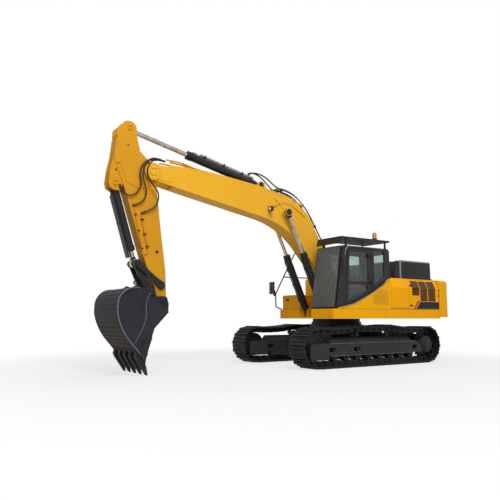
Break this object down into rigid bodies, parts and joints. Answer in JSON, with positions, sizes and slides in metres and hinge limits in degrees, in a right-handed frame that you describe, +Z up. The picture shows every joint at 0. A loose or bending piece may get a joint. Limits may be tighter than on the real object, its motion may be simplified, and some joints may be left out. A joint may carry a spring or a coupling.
{
  "type": "crawler excavator",
  "caption": "Full-size crawler excavator with slewing upper structure, guarded cab, one-piece boom, arm, bucket linkage, bucket and hydraulic cylinders.",
  "frame": {"origin": "on the ground under the middle of the machine's length, on its centre line; the slewing axis is 1.72 m behind it", "axes": "+X forward to the bucket, +Y left to the cab side, +Z up"},
  "size_m": [10.3, 3.215, 5.73],
  "materials": {
    "yellow_paint": "warm amber yellow gloss paint",
    "black_paint": "charcoal satin paint",
    "track_steel": "dark rolled and cast steel, worn",
    "bucket_steel": "dark paint worn to bare steel at the lip",
    "chrome_rod": "hard chrome",
    "tinted_glass": "green-grey tint",
    "seat_cover": "dark cloth",
    "cab_plastic": "grained dark plastic",
    "amber_lens": "amber lens",
    "mirror_black": "black housing",
    "engine_iron": "grey iron"
  },
  "bodies": {
    "undercarriage": {"carbody": "black_paint", "left_track_frame": "black_paint", "right_track_frame": "black_paint", "left_track": "track_steel", "right_track": "track_steel", "track_rollers": "black_paint", "idlers": "black_paint", "sprockets": "black_paint", "final_drives": "black_paint", "swing_bearing": "black_paint", "tow_eyes": "black_paint"},
    "upper": {"upper_frame": "yellow_paint", "counterweight": "yellow_paint", "engine_block": "engine_iron", "left_housing": "yellow_paint", "right_housing": "yellow_paint", "fuel_tank": "yellow_paint", "toolbox": "yellow_paint", "handrail": "black_paint", "mirror": "mirror_black", "cab_shell": "black_paint", "cab_glass": "tinted_glass", "cab_floor": "cab_plastic", "seat": "seat_cover", "controls": "cab_plastic", "front_guard": "black_paint", "roof_guard": "black_paint", "beacon": "amber_lens"},
    "cab_door": {"cab_door": "black_paint", "cab_door_glass": "tinted_glass"},
    "left_side_door": {"left_side_door": "yellow_paint"},
    "right_side_door": {"right_side_door": "yellow_paint"},
    "engine_hood": {"engine_hood": "black_paint"},
    "boom": {"boom": "yellow_paint", "boom_lamp": "black_paint"},
    "arm": {"arm": "yellow_paint"},
    "bucket": {"bucket": "bucket_steel", "bucket_teeth": "bucket_steel"},
    "lift_barrels": {"lift_barrels": "black_paint"},
    "lift_rods": {"lift_rods": "chrome_rod"},
    "crowd_barrel": {"crowd_barrel": "black_paint"},
    "crowd_rod": {"crowd_rod": "chrome_rod"},
    "curl_barrel": {"curl_barrel": "black_paint"},
    "curl_rod": {"curl_rod": "chrome_rod"},
    "rockers": {"rockers": "black_paint"},
    "bucket_link": {"bucket_link": "black_paint", "lifting_eye": "black_paint"}
  },
  "joints": [
    {"name": "swing", "type": "hinge", "parent": "undercarriage", "child": "upper", "pos_m": [-1.72, 0, 1.215], "axis": [0, 0, 1], "continuous": true},
    {"name": "boom_lift", "type": "hinge", "parent": "upper", "child": "boom", "pos_m": [-1.57, 0, 2], "axis": [0, -1, 0], "range_deg": [-60, 53]},
    {"name": "arm_crowd", "type": "hinge", "parent": "boom", "child": "arm", "pos_m": [4.1, 0, 4.61], "axis": [0, 1, 0], "range_deg": [-85, 35]},
    {"name": "bucket_curl", "type": "hinge", "parent": "arm", "child": "bucket", "pos_m": [3.8, 0, 1.58], "axis": [0, 1, 0], "range_deg": [-8, 145]},
    {"name": "cab_door_hinge", "type": "hinge", "parent": "upper", "child": "cab_door", "pos_m": [-1.68, 1.52, 2.5], "axis": [0, 0, 1], "range_deg": [0, 165]},
    {"name": "left_door_hinge", "type": "hinge", "parent": "upper", "child": "left_side_door", "pos_m": [-3.092, 1.512, 1.9], "axis": [0, 0, -1], "range_deg": [0, 100]},
    {"name": "right_door_hinge", "type": "hinge", "parent": "upper", "child": "right_side_door", "pos_m": [-2.722, -1.512, 1.9], "axis": [0, 0, 1], "range_deg": [0, 100]},
    {"name": "hood_hinge", "type": "hinge", "parent": "upper", "child": "engine_hood", "pos_m": [-2.87, 0, 2.337], "axis": [0, 1, 0], "range_deg": [0, 55]},
    {"name": "lift_barrel_pivot", "type": "hinge", "parent": "upper", "child": "lift_barrels", "pos_m": [-0.96, 0, 1.4], "axis": [0, -1, 0], "range_deg": [-55.91, 49.45]},
    {"name": "lift_rod_slide", "type": "slide", "parent": "lift_barrels", "child": "lift_rods", "axis": [0.4236, 0, 0.9058], "range_m": [-0.7825, 0.6914]},
    {"name": "crowd_barrel_pivot", "type": "hinge", "parent": "boom", "child": "crowd_barrel", "pos_m": [0.99, 0, 4.72], "axis": [0, 1, 0], "range_deg": [-9.9, 4.37]},
    {"name": "crowd_rod_slide", "type": "slide", "parent": "crowd_barrel", "child": "crowd_rod", "axis": [0.9742, 0, 0.2256], "range_m": [-1.3947, 0.5755]},
    {"name": "rocker_pivot", "type": "hinge", "parent": "arm", "child": "rockers", "pos_m": [3.83, 0, 1.98], "axis": [0, 1, 0], "range_deg": [-5.19, 85.57]},
    {"name": "link_pivot", "type": "hinge", "parent": "bucket", "child": "bucket_link", "pos_m": [4.1, 0, 1.8], "axis": [0, -1, 0], "range_deg": [-6.23, 104.36]},
    {"name": "curl_barrel_pivot", "type": "hinge", "parent": "arm", "child": "curl_barrel", "pos_m": [4.97, 0, 4.24], "axis": [0, -1, 0], "range_deg": [-0.96, 8.88]},
    {"name": "curl_rod_slide", "type": "slide", "parent": "curl_barrel", "child": "curl_rod", "axis": [-0.2952, 0, -0.9554], "range_m": [-0.0556, 0.9733]}
  ],
  "couplings": [
    {"joint": "lift_barrel_pivot", "follows": "boom_lift", "ratio": 0.9235},
    {"joint": "lift_rod_slide", "follows": "boom_lift", "m_per_rad": 0.7453},
    {"joint": "crowd_barrel_pivot", "follows": "arm_crowd", "ratio": 0.1106},
    {"joint": "crowd_rod_slide", "follows": "arm_crowd", "m_per_rad": 0.9388},
    {"joint": "rocker_pivot", "follows": "bucket_curl", "ratio": 0.5867},
    {"joint": "link_pivot", "follows": "bucket_curl", "ratio": 0.7163},
    {"joint": "curl_barrel_pivot", "follows": "bucket_curl", "ratio": 0.0578},
    {"joint": "curl_rod_slide", "follows": "bucket_curl", "m_per_rad": 0.3838}
  ]
}
